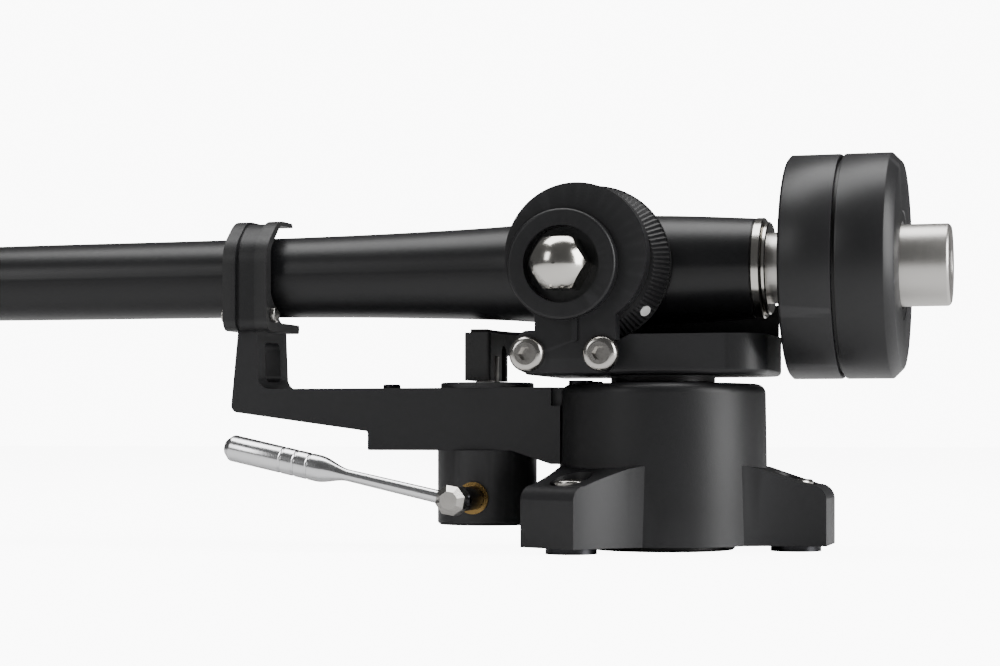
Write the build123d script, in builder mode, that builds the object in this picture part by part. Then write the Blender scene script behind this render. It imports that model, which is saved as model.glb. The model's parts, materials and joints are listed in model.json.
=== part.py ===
from build123d import *
import os
from math import cos, pi, radians, sin, tan

os.makedirs("parts", exist_ok=True)

# Tonearm for a record player: a one-piece tapered arm in a yoke that turns on a three-legged base.
# Origin on the vertical pivot axis at the mounting plane, +X to the counterweight, -Y to the
# outer side with the dial, +Y to the platter, +Z up. Millimetres.

# ---- driving dimensions ----
running_gap = 0.05        # radial clearance of a running fit
slip_gap = 0.10           # radial clearance of a bolt or a loose shaft
arm_rise = 18.4           # arm axis above the hub's top
tilt_x = -12.6            # horizontal bearing axis, forward of the vertical axis
tilt_range = 1.2          # degrees that the lift raises the arm

hub_r = 16.5
hub_bottom_r = 16.9
hub_top = 26.6
hub_corner_r = 1.6
foot_gap = 1.0            # underside of the casting above the mounting plane
leg_count = 3
leg_reach = 27.0
leg_half_width = 5.65
leg_end_height = 10.6
screw_recess_r = 3.35
leg_recess_depth = 1.6
leg_head_r = 2.75
leg_head_height = 2.4
leg_waist_r = 24.0         # concave side of a leg, in plan
leg_root_height = 13.2
bolt_circle_r = 21.5
bolt_r = 1.65             # tapped size of an M4 thread
insert_r = 4.0
leg_screw_r = 1.25
insert_height = 5.0
insert_cap = 1.2          # depth of the top screw's thread in the insert
insert_web = 0.4          # solid left between the two threads
collar_r = 11.6
gland_bore_r = 2.2

spindle_r = 4.0
spindle_bore_r = 2.4
bearing_width = 5.0
bearing_outer_r = 8.0
race_wall = 1.0
lower_bearing_z = 3.0

yoke_gap = 1.3            # hub to yoke
yoke_height = 6.3
yoke_front = -20.0
yoke_rear = 18.1
yoke_half_width = 13.0
yoke_corner_r = 6.0
neck_r = 8.4
neck_gap = 0.3
rear_wall_start = -4.6    # low wall along the platter side of the yoke
rear_wall_rise = 5.4
trough_r = 10.3           # clearance for the arm
cheek_thickness = 3.6
dial_pocket = 4.6
ear_thickness = 3.0
ear_x = -10.8             # centre of the ear's disc
ear_r = 11.35
ear_rise = 1.5            # centre of the ear's disc above the arm axis
ear_ring_r = 8.7
ear_ring_height = 2.0
ear_bore_r = 6.05
ear_bore_depth = 3.0
foot_left = -20.3
foot_right = -5.0
foot_height = 6.7
foot_corner_r = 1.9
stem_width = 13.0
ear_screw_r = 1.5
ear_head_r = 2.85
ear_head_height = 1.65
foot_screw_x = (-18.4, -6.6)
axle_r = 2.5
tilt_bearing_r = 5.0
tilt_bearing_width = 3.0
tilt_bearing_y = 3.2      # inner face of each bearing from the arm's axis
nut_flats = 8.0
nut_length = 8.0
nut_dome_height = 3.0

dial_x = -9.3             # the dial sits behind and above the bearing axis
dial_rise = 0.4
dial_r = 12.5
dial_front_r = 10.4
dial_width = 3.5
dial_rim = 0.6            # plain rim behind the teeth
dial_boss_r = 8.5
dial_teeth = 96
dial_tooth_depth = 0.3
dot_r = 0.9
dot_depth = 0.5
dot_angle = -41.0         # white mark on the rim, from +X towards +Z

tube_wall = 1.3
tube_front = -196.0
tube_rear = 15.3
# radius of the arm at chosen distances along X
tube_profile = [
    (-196.0, 5.5), (-160.0, 6.0), (-119.0, 6.5), (-81.0, 6.63), (-62.5, 6.75), (-44.7, 7.08),
    (-27.0, 7.7), (-12.6, 8.75), (-2.0, 8.85), (6.0, 8.55), (tube_rear, 8.0),
]
shell_angle = 23.9        # offset angle of the headshell
shell_length = 38.0
shell_width = 19.0
shell_thickness = 3.4
cartridge_spacing = 12.7
cartridge_hole_r = 1.3
cartridge_from_tube = 24.0

stub_r = 6.45
stub_neck_r = 5.65
stub_end = 45.8
weight_r = 17.75
weight_front = 20.9
weight_split = 29.3
weight_rear = 38.4
weight_groove = 0.5
weight_chamfer = 1.5

bracket_drop = 0.5        # bracket's top below the hub's top
bracket_height = 10.2
saddle_drop = 12.4        # lowest points of the bracket, below its top
step_drop = 7.1
post_foot_drop = 3.8
post_slot_width = 7.0
bracket_step_x = -48.0
tongue_width = 12.0
tongue_depth = 3.5
tongue_web = 1.4          # casting left between the tongue and the bearing
bracket_screw_x = -46.1
bracket_half_width = 7.0
post_left = -70.8
post_thickness = 3.2
clip_left = -72.5
clip_right = -64.7
clip_top_rise = 9.4
clip_wall = 1.3
clip_gap = 1.1            # arm to the clip's wall
clip_drop = 9.3           # clip's base below the arm axis
clip_screw_y = -7.2
clip_screw_rise = 2.7

lift_x = -29.5
lift_body_r = 8.2
lift_body_bottom = 3.7
lift_neck_r = 5.5
lift_chamber_r = 4.6
lift_chamber_bottom = 5.2
lift_roof = 4.1           # solid above the spring
plunger_r = 1.9
piston_bottom = 10.9
piston_height = 2.0
flange_r = 7.7
flange_height = 0.9
bridge_inner_r = 28.4
bridge_width = 4.4
bridge_drop = 9.8         # bridge's top below the arm axis
bridge_pad = 0.6
bridge_sweep = 52.0
contact_gap = 0.25        # lift pad to arm at full lift
lever_z = 8.2
lever_angle = 12.4
lever_length = 38.9
lever_shaft_r = 1.0
lever_boss_y = -20.0
lever_boss_r = 2.45
lever_boss_length = 4.8
bush_r = 2.2
handle_r = 2.15
rod_r = 0.95
groove_depth = 0.16       # three rings round the handle
cam_angle = 25.0          # the cam's lobe above the -X direction, with the lift down

# ---- values that follow from them ----
arm_height = hub_top + arm_rise
yoke_bottom = hub_top + yoke_gap
yoke_top = yoke_bottom + yoke_height
foot_screw_z = yoke_bottom + 3.2
bracket_top = hub_top - bracket_drop
bracket_bottom = bracket_top - bracket_height
lift_chamber_top = bracket_top - lift_roof
leg_screw_seat = leg_end_height - leg_recess_depth
cheek_r = ear_r - 0.6
clip_base = arm_height - clip_drop
clip_top = arm_height + clip_top_rise
bridge_top = arm_height - bridge_drop
dial_z = arm_height + dial_rise
spindle_race_r = spindle_r + race_wall
bearing_middle_r = (spindle_race_r + bearing_outer_r - race_wall) / 2
upper_bearing_z = hub_top - bearing_width - 0.6
ball_r = (bearing_outer_r - race_wall - spindle_race_r) / 2 - running_gap
ear_face_y = -yoke_half_width - ear_thickness
ear_z = arm_height + ear_rise
nut_seat_y = ear_face_y - ear_ring_height + ear_bore_depth
dial_front_y = -yoke_half_width + 0.3
nut_corner_r = nut_flats / 2 / cos(pi / 6) + 0.01


def polar(radius, degrees):
    return (radius * cos(radians(degrees)), radius * sin(radians(degrees)))


def tube_radius(x):
    for (x0, r0), (x1, r1) in zip(tube_profile, tube_profile[1:]):
        if x0 <= x <= x1:
            return r0 + (r1 - r0) * (x - x0) / (x1 - x0)
    return tube_profile[-1][1]


def save(piece, name):
    piece.part.label = name
    export_step(piece.part, f"parts/{name}.step")


lift_gap = arm_height - tube_radius(lift_x) - bridge_top - bridge_pad
arm_rise_at_lift = (tilt_x - lift_x) * tan(radians(tilt_range))
lift_travel = lift_gap + arm_rise_at_lift - contact_gap

# ---- base casting: hub and three legs ----
with BuildPart() as leg:
    with BuildSketch(Plane.XY.offset(foot_gap)):
        with BuildLine():
            root = polar(hub_r - 1.0, 52)
            Line((0, 0), root)
            RadiusArc(root, (leg_reach, leg_half_width), -leg_waist_r)
            Line((leg_reach, leg_half_width), (leg_reach, -leg_half_width))
            RadiusArc((leg_reach, -leg_half_width), (root[0], -root[1]), -leg_waist_r)
            Line((root[0], -root[1]), (0, 0))
        make_face()
    extrude(amount=leg_root_height + 4)
    with BuildSketch(Plane.XZ):
        with BuildLine():
            Polyline(
                (0, foot_gap), (leg_reach, foot_gap), (leg_reach, leg_end_height - 2.2),
            )
            leg_crown = (leg_reach - 2.4, leg_end_height)
            RadiusArc((leg_reach, leg_end_height - 2.2), leg_crown, -2.4)
            Polyline(leg_crown, (hub_r, leg_root_height), (0, leg_root_height + 3), (0, foot_gap))
        make_face()
    extrude(amount=2 * hub_r, both=True, mode=Mode.INTERSECT)

with BuildPart() as base_casting:
    with BuildSketch(Plane.XZ):
        with BuildLine():
            Polyline(
                (0, foot_gap), (hub_bottom_r, foot_gap), (hub_r, hub_top), (0, hub_top),
                (0, foot_gap),
            )
        make_face()
    revolve(axis=Axis.Z)
    fillet(base_casting.faces().sort_by(Axis.Z)[-1].edges(), hub_corner_r)
    with PolarLocations(0, leg_count):
        add(leg.part)
    # bearing seats and the clear bore between them
    with Locations((0, 0, foot_gap)):
        Cylinder(
            bearing_outer_r, lower_bearing_z - foot_gap + bearing_width,
            align=(Align.CENTER, Align.CENTER, Align.MIN), mode=Mode.SUBTRACT,
        )
        Cylinder(
            bearing_outer_r - race_wall, hub_top,
            align=(Align.CENTER, Align.CENTER, Align.MIN), mode=Mode.SUBTRACT,
        )
    with Locations((0, 0, upper_bearing_z)):
        Cylinder(
            bearing_outer_r, hub_top, align=(Align.CENTER, Align.CENTER, Align.MIN), mode=Mode.SUBTRACT,
        )
    # seats for the mounting inserts, clearance for the top screws and their recesses
    with PolarLocations(bolt_circle_r, leg_count):
        with Locations((0, 0, foot_gap)):
            Cylinder(
                insert_r, insert_height - foot_gap,
                align=(Align.CENTER, Align.CENTER, Align.MIN), mode=Mode.SUBTRACT,
            )
            Cylinder(
                leg_screw_r + slip_gap, leg_root_height,
                align=(Align.CENTER, Align.CENTER, Align.MIN), mode=Mode.SUBTRACT,
            )
        with Locations((0, 0, leg_screw_seat)):
            Cylinder(
                screw_recess_r, leg_root_height,
                align=(Align.CENTER, Align.CENTER, Align.MIN), mode=Mode.SUBTRACT,
            )
    # step in the hub that takes the tongue of the rest bracket
    with Locations((-hub_r, 0, hub_top + 1)):
        Box(
            2 * (hub_r - bearing_outer_r - tongue_web), tongue_width, 2 * tongue_depth + 2,
            align=(Align.CENTER, Align.CENTER, Align.CENTER), mode=Mode.SUBTRACT,
        )
save(base_casting, "base_casting")

tongue_bottom = hub_top - tongue_depth
tongue_end = -(bearing_outer_r + tongue_web)

with BuildPart() as base_collar:
    with BuildSketch():
        Circle(collar_r)
        Circle(spindle_r + 0.6, mode=Mode.SUBTRACT)
    extrude(amount=foot_gap)
    chamfer(base_collar.faces().sort_by(Axis.Z)[0].outer_wire().edges(), 0.3)
save(base_collar, "base_collar")

with BuildPart() as cable_gland:
    with BuildSketch():
        Circle(spindle_r + 0.6)
    extrude(amount=foot_gap)
    with BuildSketch(Plane.XY.offset(foot_gap)):
        Circle(bearing_outer_r - 1.5)
    extrude(amount=0.8)
    with BuildSketch():
        Circle(gland_bore_r)
    extrude(amount=3 * foot_gap, mode=Mode.SUBTRACT)
save(cable_gland, "cable_gland")

with BuildPart() as leg_inserts:
    with BuildSketch():
        with PolarLocations(bolt_circle_r, leg_count):
            Circle(insert_r)
    extrude(amount=insert_height)
    with BuildSketch():
        with PolarLocations(bolt_circle_r, leg_count):
            Circle(bolt_r)
    extrude(amount=insert_height - insert_cap - insert_web, mode=Mode.SUBTRACT)
    with BuildSketch(Plane.XY.offset(insert_height)):
        with PolarLocations(bolt_circle_r, leg_count):
            Circle(leg_screw_r)
    extrude(amount=-insert_cap, mode=Mode.SUBTRACT)
save(leg_inserts, "leg_inserts")

with BuildPart() as leg_screws:
    with BuildSketch(Plane.XY.offset(leg_screw_seat)):
        with PolarLocations(bolt_circle_r, leg_count):
            Circle(leg_head_r)
    extrude(amount=leg_head_height)
    fillet(leg_screws.faces().group_by(Axis.Z)[-1].edges(), 0.45)
    with BuildSketch(Plane.XY.offset(leg_screw_seat + leg_head_height)):
        with PolarLocations(bolt_circle_r, leg_count):
            RegularPolygon(1.25, 6, major_radius=False)
    extrude(amount=-1.3, mode=Mode.SUBTRACT)
    with BuildSketch(Plane.XY.offset(leg_screw_seat)):
        with PolarLocations(bolt_circle_r, leg_count):
            Circle(leg_screw_r)
    extrude(amount=insert_height - insert_cap - leg_screw_seat)
save(leg_screws, "leg_screws")

# ---- vertical bearings and spindle ----
bearing_levels = (lower_bearing_z, upper_bearing_z)


def ring_pair(outer, inner):
    with BuildPart() as rings:
        for level in bearing_levels:
            with BuildSketch(Plane.XY.offset(level)):
                Circle(outer)
                Circle(inner, mode=Mode.SUBTRACT)
            extrude(amount=bearing_width)
    return rings


save(ring_pair(bearing_outer_r, bearing_outer_r - race_wall), "pan_bearing_outer_races")
save(ring_pair(spindle_race_r, spindle_r), "pan_bearing_inner_races")

with BuildPart() as pan_bearing_balls:
    for level in bearing_levels:
        with Locations((0, 0, level + bearing_width / 2)):
            with PolarLocations(bearing_middle_r, 12):
                Sphere(ball_r)
save(pan_bearing_balls, "pan_bearing_balls")

with BuildPart() as bearing_spacer:
    with BuildSketch(Plane.XY.offset(lower_bearing_z + bearing_width)):
        Circle(spindle_race_r)
        Circle(spindle_r, mode=Mode.SUBTRACT)
    extrude(amount=upper_bearing_z - lower_bearing_z - bearing_width)
save(bearing_spacer, "bearing_spacer")

spindle_bottom = lower_bearing_z - 0.9
with BuildPart() as pivot_spindle:
    with BuildSketch(Plane.XY.offset(spindle_bottom)):
        Circle(spindle_r)
    extrude(amount=yoke_top - 1.2 - spindle_bottom)
    with BuildSketch(Plane.XY.offset(spindle_bottom)):
        Circle(spindle_bore_r)
    extrude(amount=yoke_top, mode=Mode.SUBTRACT)
    with BuildSketch(Plane.XY.offset(spindle_bottom + 0.25)):
        Circle(spindle_r)
        Circle(spindle_r - 0.4, mode=Mode.SUBTRACT)
    extrude(amount=0.6, mode=Mode.SUBTRACT)
save(pivot_spindle, "pivot_spindle")

with BuildPart() as spindle_circlip:
    with BuildSketch(Plane.XY.offset(spindle_bottom + 0.25)):
        Circle(spindle_r + 0.7)
        Circle(spindle_r - 0.4, mode=Mode.SUBTRACT)
        with Locations((0, spindle_r + 0.7)):
            Rectangle(2.4, 3.2, mode=Mode.SUBTRACT)
    extrude(amount=0.6)
save(spindle_circlip, "spindle_circlip")

# ---- yoke that carries the arm ----
with BuildPart() as yoke:
    with BuildSketch(Plane.XY.offset(yoke_bottom)):
        with BuildLine():
            FilletPolyline(
                (yoke_front, -yoke_half_width), (yoke_rear, -yoke_half_width),
                (yoke_rear, yoke_half_width), (yoke_front, yoke_half_width),
                radius=(1.0, yoke_corner_r, yoke_corner_r, 1.0), close=True,
            )
        make_face()
    extrude(amount=yoke_top - yoke_bottom)
    fillet(yoke.edges().group_by(Axis.Z)[0], 0.8)
    # bearing cheek on the platter side, and the low rear wall
    with BuildSketch(Plane.XZ.offset(-yoke_half_width)):
        with Locations((tilt_x, arm_height)):
            Circle(cheek_r)
        with Locations((tilt_x, (yoke_top + arm_height) / 2 - 1)):
            Rectangle(2 * ear_r - 4.4, arm_height - yoke_top + 2)
    extrude(amount=cheek_thickness)
    with BuildSketch(Plane.XY.offset(yoke_top)):
        with Locations(((rear_wall_start + yoke_rear) / 2, yoke_half_width - 1.6)):
            Rectangle(yoke_rear - rear_wall_start, 3.2)
    extrude(amount=rear_wall_rise)
    with BuildSketch(Plane.XY.offset(yoke_bottom)):
        with BuildLine():
            FilletPolyline(
                (yoke_front, -yoke_half_width), (yoke_rear, -yoke_half_width),
                (yoke_rear, yoke_half_width), (yoke_front, yoke_half_width),
                radius=(1.0, yoke_corner_r, yoke_corner_r, 1.0), close=True,
            )
        make_face()
    extrude(amount=arm_height, mode=Mode.INTERSECT)
    # neck down to the hub
    with BuildSketch(Plane.XY.offset(yoke_bottom)):
        Circle(neck_r)
    extrude(amount=hub_top + neck_gap - yoke_bottom)
    with BuildSketch(Plane.XY.offset(hub_top + neck_gap)):
        Circle(spindle_race_r + 0.6)
    extrude(amount=upper_bearing_z + bearing_width - hub_top - neck_gap)
    # spindle bore
    with BuildSketch(Plane.XY.offset(upper_bearing_z)):
        Circle(spindle_r)
    extrude(amount=yoke_top - upper_bearing_z - 1.2, mode=Mode.SUBTRACT)
    with BuildSketch(Plane.XY.offset(yoke_top - 1.2)):
        Circle(spindle_bore_r)
    extrude(amount=5, mode=Mode.SUBTRACT)
    # trough under the arm
    with BuildSketch(Plane.YZ):
        with Locations((0, arm_height)):
            Circle(trough_r)
    extrude(amount=arm_height, both=True, mode=Mode.SUBTRACT)
    # pocket that the dial turns in
    with BuildSketch(Plane.XZ.offset(yoke_half_width - dial_pocket)):
        with Locations((dial_x, dial_z)):
            Circle(dial_r + 0.5)
    extrude(amount=dial_pocket + 1, mode=Mode.SUBTRACT)
    # axle bore and tapped holes for the ear
    with BuildSketch(Plane.XZ.offset(-yoke_half_width - 1)):
        with Locations((tilt_x, arm_height)):
            Circle(axle_r)
    extrude(amount=8, mode=Mode.SUBTRACT)
    with BuildSketch(Plane.XZ.offset(yoke_half_width)):
        with Locations(*[(x, foot_screw_z) for x in foot_screw_x]):
            Circle(ear_screw_r)
    extrude(amount=-6.5, mode=Mode.SUBTRACT)
save(yoke, "yoke")

with BuildPart() as near_ear:
    with BuildSketch(Plane.XZ.offset(yoke_half_width)):
        with Locations((ear_x, ear_z)):
            Circle(ear_r)
        with Locations(((foot_left + foot_right) / 2, yoke_bottom + 3.55)):
            RectangleRounded(foot_right - foot_left, foot_height, foot_corner_r)
        with Locations((ear_x, (yoke_top - 1 + ear_z) / 2)):
            Rectangle(stem_width, ear_z - yoke_top + 1)
    extrude(amount=ear_thickness)
    with BuildSketch(Plane.XZ.offset(-ear_face_y)):
        with Locations((tilt_x, arm_height)):
            Circle(ear_ring_r)
    extrude(amount=ear_ring_height)
    fillet(near_ear.faces().sort_by(Axis.Y)[0].edges(), 0.5)
    with BuildSketch(Plane.XZ.offset(-ear_face_y + ear_ring_height)):
        with Locations((tilt_x, arm_height)):
            Circle(ear_bore_r)
    extrude(amount=-ear_bore_depth, mode=Mode.SUBTRACT)
    # boss that the dial turns on, hollow for the spring
    with BuildSketch(Plane.XZ.offset(yoke_half_width)):
        with Locations((dial_x, dial_z)):
            Circle(dial_boss_r)
            Circle(dial_boss_r - 1.0, mode=Mode.SUBTRACT)
    extrude(amount=-dial_width - 0.2)
    # short vertical rib between the screws
    with BuildSketch(Plane.XZ.offset(-ear_face_y)):
        with Locations((ear_x, yoke_top + 1)):
            RectangleRounded(0.9, 4.4, 0.4)
    extrude(amount=0.5)
    with BuildSketch(Plane.XZ.offset(yoke_half_width)):
        with Locations((tilt_x, arm_height)):
            Circle(axle_r)
        with Locations(*[(x, foot_screw_z) for x in foot_screw_x]):
            Circle(ear_screw_r)
    extrude(amount=20, both=True, mode=Mode.SUBTRACT)
save(near_ear, "near_ear")

with BuildPart() as ear_screws:
    with BuildSketch(Plane.XZ.offset(-ear_face_y)):
        with Locations(*[(x, foot_screw_z) for x in foot_screw_x]):
            Circle(ear_head_r)
    extrude(amount=ear_head_height)
    fillet(ear_screws.faces().group_by(Axis.Y)[0].edges(), 1.1)
    with BuildSketch(Plane.XZ.offset(-ear_face_y + ear_head_height)):
        with Locations(*[(x, foot_screw_z) for x in foot_screw_x]):
            RegularPolygon(1.0, 6, major_radius=False)
    extrude(amount=-1.1, mode=Mode.SUBTRACT)
    with BuildSketch(Plane.XZ.offset(-ear_face_y)):
        with Locations(*[(x, foot_screw_z) for x in foot_screw_x]):
            Circle(ear_screw_r)
    extrude(amount=-ear_thickness - 5.5)
save(ear_screws, "ear_screws")

with BuildPart() as cross_axle:
    with BuildSketch(Plane.XZ.offset(-nut_seat_y + 4.0)):
        with Locations((tilt_x, arm_height)):
            Circle(axle_r)
    extrude(amount=-(-nut_seat_y + 4.0) - yoke_half_width - 1.5)
save(cross_axle, "cross_axle")


def domed_nut(seat_y, way):
    # hexagon with a dome, seated at seat_y and standing out along way * Y
    with BuildPart() as nut:
        with BuildSketch(Plane.XZ.offset(-seat_y)):
            with Locations((tilt_x, arm_height)):
                RegularPolygon(nut_flats / 2, 6, major_radius=False, rotation=0)
        extrude(amount=-way * nut_length)
        with BuildSketch(Plane.XY.offset(arm_height)):
            far = seat_y + way * nut_length
            corner_x = tilt_x + nut_corner_r
            rim_y = far - way * nut_dome_height
            dome_r = (nut_corner_r**2 + nut_dome_height**2) / (2 * nut_dome_height)
            middle = nut_corner_r * 0.6
            middle_drop = dome_r - (dome_r**2 - middle**2) ** 0.5
            with BuildLine():
                Polyline((tilt_x, far), (tilt_x, seat_y), (corner_x, seat_y), (corner_x, rim_y))
                ThreePointArc((corner_x, rim_y), (tilt_x + middle, far - way * middle_drop), (tilt_x, far))
            make_face()
        revolve(axis=Axis((tilt_x, 0, arm_height), (0, 1, 0)), mode=Mode.INTERSECT)
        with BuildSketch(Plane.XZ.offset(-seat_y)):
            with Locations((tilt_x, arm_height)):
                Circle(axle_r)
        extrude(amount=-way * 4.0, mode=Mode.SUBTRACT)
    return nut


save(domed_nut(nut_seat_y, -1), "pivot_nut")

with BuildPart() as far_nut:
    with BuildSketch(Plane.XZ.offset(-yoke_half_width)):
        with Locations((tilt_x, arm_height)):
            RegularPolygon(nut_flats / 2, 6, major_radius=False)
            Circle(axle_r, mode=Mode.SUBTRACT)
    extrude(amount=-2.7)
    chamfer(far_nut.faces().sort_by(Axis.Y)[-1].outer_wire().edges(), 0.4)
save(far_nut, "far_nut")

# ---- tracking-force dial, its mark and its spring ----
dial_back_y = dial_front_y + dial_width
cone_width = dial_width - dial_rim
cone_rise = dial_r - dial_front_r
dot_out, dot_up = polar(1.0, dot_angle)
dot_radius = dial_front_r + cone_rise * 0.55
dot_plane = Plane(
    origin=(dial_x + dot_radius * dot_out, dial_front_y + cone_width * 0.55, dial_z + dot_radius * dot_up),
    z_dir=(cone_width * dot_out, -cone_rise, cone_width * dot_up),
)


def toothed_ring(outer):
    corners = []
    for k in range(2 * dial_teeth):
        out, up = polar(outer * (1 - (k % 2) * dial_tooth_depth / dial_r), 180 * k / dial_teeth)
        corners.append((dial_x + out, dial_z + up))
    return corners


with BuildPart() as force_dial:
    for place, outer in ((dial_front_y, dial_front_r), (dial_front_y + cone_width, dial_r)):
        with BuildSketch(Plane.XZ.offset(-place)):
            with BuildLine():
                Polyline(*toothed_ring(outer), close=True)
            make_face()
    loft(ruled=True)
    with BuildSketch(Plane.XZ.offset(-dial_back_y + dial_rim)):
        with Locations((dial_x, dial_z)):
            Circle(dial_r)
    extrude(amount=-dial_rim)
    with BuildSketch(Plane.XZ.offset(-dial_front_y)):
        with Locations((dial_x, dial_z)):
            Circle(dial_boss_r + running_gap)
    extrude(amount=-dial_width, mode=Mode.SUBTRACT)
    with BuildSketch(dot_plane):
        Circle(dot_r)
    extrude(amount=dot_depth, both=True, mode=Mode.SUBTRACT)
save(force_dial, "force_dial")

with BuildPart() as dial_dot:
    with BuildSketch(dot_plane):
        Circle(dot_r)
    extrude(amount=-dot_depth)
save(dial_dot, "dial_dot")

spring_turns = 3
with BuildPart() as tracking_spring:
    with BuildSketch(Plane.XZ.offset(yoke_half_width - 1.0)):
        with BuildLine():
            spiral = [
                (
                    tilt_x + (axle_r + 0.15 + 0.34 * turn / 8) * cos(2 * pi * turn / 8),
                    arm_height + (axle_r + 0.15 + 0.34 * turn / 8) * sin(2 * pi * turn / 8),
                )
                for turn in range(8 * spring_turns)
            ]
            Spline(*spiral)
        trace(line_width=0.14)
    extrude(amount=-2.0)
save(tracking_spring, "tracking_spring")

# ---- arm ----
with BuildPart() as headshell_plate:
    with BuildSketch(Plane.XY.offset(arm_height - 1.2)):
        with BuildLine():
            FilletPolyline(
                (6, -5.0), (-6, -7.2), (-shell_length, -shell_width / 2),
                (-shell_length, shell_width / 2), (-6, 7.2), (6, 5.0),
                radius=(0.5, 6.0, 4.0, 4.0, 6.0, 0.5), close=True,
            )
        make_face()
    extrude(amount=shell_thickness)
    fillet(headshell_plate.faces().sort_by(Axis.Z)[-1].edges(), 1.1)
    with BuildSketch(Plane.XY.offset(arm_height)):
        with Locations((-cartridge_from_tube, 0)):
            with GridLocations(0, cartridge_spacing, 1, 2):
                Circle(cartridge_hole_r)
    extrude(amount=shell_length, both=True, mode=Mode.SUBTRACT)

with BuildPart() as arm_tube:
    with BuildSketch(Plane.XZ):
        with BuildLine():
            outline = [(x, arm_height + r) for x, r in tube_profile]
            Line((tube_front, arm_height), outline[0])
            Spline(*outline)
            Line(outline[-1], (tube_rear, arm_height))
            Line((tube_rear, arm_height), (tube_front, arm_height))
        make_face()
    revolve(axis=Axis((0, 0, arm_height), (1, 0, 0)))
    fillet(arm_tube.faces().sort_by(Axis.X)[0].edges(), 2.5)
    fillet(arm_tube.faces().sort_by(Axis.X)[-1].edges(), 0.5)
    # bore for the leads, ahead of the bearing
    with BuildSketch(Plane.YZ.offset(tilt_x - 8.5)):
        with Locations((0, arm_height)):
            Circle(tube_profile[0][1] - tube_wall)
    extrude(amount=tube_front + 6 - tilt_x + 8.5, mode=Mode.SUBTRACT)
    # socket for the rear stub
    with BuildSketch(Plane.YZ.offset(tube_rear)):
        with Locations((0, arm_height)):
            Circle(stub_neck_r)
    extrude(amount=-14, mode=Mode.SUBTRACT)
    # cross bore for the axle and the two bearings
    with BuildSketch(Plane.XZ):
        with Locations((tilt_x, arm_height)):
            Circle(axle_r + 0.5)
    extrude(amount=12, both=True, mode=Mode.SUBTRACT)
    for side in (-1, 1):
        with BuildSketch(Plane.XZ.offset(-side * tilt_bearing_y)):
            with Locations((tilt_x, arm_height)):
                Circle(tilt_bearing_r)
        extrude(amount=-side * 10, mode=Mode.SUBTRACT)
    with Locations(Location((tube_front + 5, 0, 0), (0, 0, -shell_angle))):
        add(headshell_plate.part)
save(arm_tube, "arm_tube")

with BuildPart() as finger_lift:
    with BuildSketch(Plane.XZ.offset(shell_width / 2)):
        with Locations((-30.0, arm_height + 0.5)):
            RectangleRounded(6.0, 1.4, 0.6)
    extrude(amount=3.0)
    with BuildSketch(Plane.XZ.offset(shell_width / 2 + 3.0)) as finger_root:
        with Locations((-30.0, arm_height + 0.5)):
            RectangleRounded(6.0, 1.4, 0.6)
    with BuildSketch(Plane.XZ.offset(shell_width / 2 + 12.0)) as finger_tip:
        with Locations((-34.0, arm_height + 3.5)):
            RectangleRounded(3.2, 1.2, 0.55)
    loft(sections=[finger_root.sketch, finger_tip.sketch])
finger_lift.part = Location((tube_front + 5, 0, 0), (0, 0, -shell_angle)) * finger_lift.part
save(finger_lift, "finger_lift")


def cross_rings(outer, inner):
    with BuildPart() as rings:
        for side in (-1, 1):
            with BuildSketch(Plane.XZ.offset(-side * tilt_bearing_y)):
                with Locations((tilt_x, arm_height)):
                    Circle(outer)
                    Circle(inner, mode=Mode.SUBTRACT)
            extrude(amount=-side * tilt_bearing_width)
    return rings


tilt_race_wall = 0.7
save(cross_rings(tilt_bearing_r, tilt_bearing_r - tilt_race_wall), "tilt_bearing_outer_races")
save(cross_rings(axle_r + tilt_race_wall, axle_r), "tilt_bearing_inner_races")

with BuildPart() as tilt_bearing_balls:
    for side in (-1, 1):
        ball_y = side * (tilt_bearing_y + tilt_bearing_width / 2)
        with Locations(Location((tilt_x, ball_y, arm_height), (90, 0, 0))):
            with PolarLocations((axle_r + tilt_bearing_r) / 2, 10):
                Sphere(0.5)
save(tilt_bearing_balls, "tilt_bearing_balls")

with BuildPart() as rear_collar:
    with BuildSketch(Plane.YZ.offset(tube_rear)):
        with Locations((0, arm_height)):
            Circle(tube_profile[-1][1] + 0.05)
            Circle(stub_neck_r, mode=Mode.SUBTRACT)
    extrude(amount=1.5)
    with BuildSketch(Plane.YZ.offset(tube_rear + 1.5)):
        with Locations((0, arm_height)):
            Circle(tube_profile[-1][1] - 0.6)
            Circle(stub_neck_r, mode=Mode.SUBTRACT)
    extrude(amount=0.8)
    chamfer(rear_collar.faces().sort_by(Axis.X)[-1].outer_wire().edges(), 0.25)
save(rear_collar, "rear_collar")

with BuildPart() as stub_shaft:
    with BuildSketch(Plane.XZ):
        with BuildLine():
            Polyline(
                (tube_rear - 13.5, arm_height), (tube_rear - 13.5, arm_height + stub_neck_r),
                (tube_rear + 5.4, arm_height + stub_neck_r), (tube_rear + 5.4, arm_height + stub_r),
                (stub_end - 0.5, arm_height + stub_r), (stub_end, arm_height + stub_r - 0.5),
                (stub_end, arm_height), (tube_rear - 13.5, arm_height),
            )
        make_face()
    revolve(axis=Axis((0, 0, arm_height), (1, 0, 0)))
save(stub_shaft, "stub_shaft")

weight_bore_r = stub_r + running_gap
with BuildPart() as counterweight_front:
    with BuildSketch(Plane.YZ.offset(weight_front)):
        with Locations((0, arm_height)):
            Circle(weight_r)
            Circle(weight_bore_r, mode=Mode.SUBTRACT)
    extrude(amount=weight_split - weight_groove / 2 - weight_front)
    fillet(counterweight_front.faces().filter_by(Axis.X).edges().group_by(SortBy.LENGTH)[-1], 0.5)
save(counterweight_front, "counterweight_front")

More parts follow.
